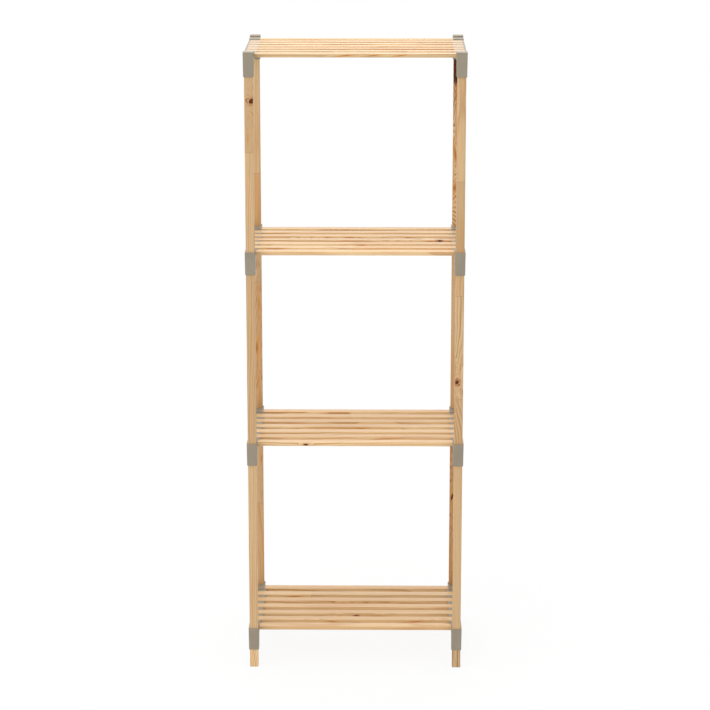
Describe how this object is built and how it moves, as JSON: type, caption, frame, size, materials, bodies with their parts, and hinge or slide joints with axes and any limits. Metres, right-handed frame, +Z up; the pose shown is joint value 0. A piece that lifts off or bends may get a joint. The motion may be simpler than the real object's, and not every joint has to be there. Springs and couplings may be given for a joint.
{
  "type": "bathroom shelf",
  "caption": "Tall open rack of slatted pine shelves on moulded plastic side brackets, whose sleeves join square pine posts and short legs.",
  "frame": {"origin": "on the floor, under the middle of the rack", "axes": "+X to the right as seen from the front, +Y to the back, +Z up; the front faces -Y"},
  "size_m": [0.45, 0.31, 1.3045],
  "materials": {
    "pine_slat": "sanded clear pine",
    "pine_post": "sanded clear pine",
    "moulded_plastic": "fine moulded texture, grey-beige"
  },
  "bodies": {
    "root": {"shelf_1_slat_1": "pine_slat", "shelf_1_slat_2": "pine_slat", "shelf_1_slat_3": "pine_slat", "shelf_1_slat_4": "pine_slat", "shelf_1_slat_5": "pine_slat", "shelf_1_slat_6": "pine_slat", "shelf_1_slat_7": "pine_slat", "bracket_1_left": "moulded_plastic", "bracket_1_right": "moulded_plastic", "shelf_2_slat_1": "pine_slat", "shelf_2_slat_2": "pine_slat", "shelf_2_slat_3": "pine_slat", "shelf_2_slat_4": "pine_slat", "shelf_2_slat_5": "pine_slat", "shelf_2_slat_6": "pine_slat", "shelf_2_slat_7": "pine_slat", "bracket_2_left": "moulded_plastic", "bracket_2_right": "moulded_plastic", "shelf_3_slat_1": "pine_slat", "shelf_3_slat_2": "pine_slat", "shelf_3_slat_3": "pine_slat", "shelf_3_slat_4": "pine_slat", "shelf_3_slat_5": "pine_slat", "shelf_3_slat_6": "pine_slat", "shelf_3_slat_7": "pine_slat", "bracket_3_left": "moulded_plastic", "bracket_3_right": "moulded_plastic", "shelf_4_slat_1": "pine_slat", "shelf_4_slat_2": "pine_slat", "shelf_4_slat_3": "pine_slat", "shelf_4_slat_4": "pine_slat", "shelf_4_slat_5": "pine_slat", "shelf_4_slat_6": "pine_slat", "shelf_4_slat_7": "pine_slat", "bracket_4_left": "moulded_plastic", "bracket_4_right": "moulded_plastic", "leg_front_left": "pine_post", "post_1_front_left": "pine_post", "post_2_front_left": "pine_post", "post_3_front_left": "pine_post", "cap_front_left": "moulded_plastic", "leg_front_right": "pine_post", "post_1_front_right": "pine_post", "post_2_front_right": "pine_post", "post_3_front_right": "pine_post", "cap_front_right": "moulded_plastic", "leg_rear_left": "pine_post", "post_1_rear_left": "pine_post", "post_2_rear_left": "pine_post", "post_3_rear_left": "pine_post", "cap_rear_left": "moulded_plastic", "leg_rear_right": "pine_post", "post_1_rear_right": "pine_post", "post_2_rear_right": "pine_post", "post_3_rear_right": "pine_post", "cap_rear_right": "moulded_plastic"}
  },
  "joints": []
}
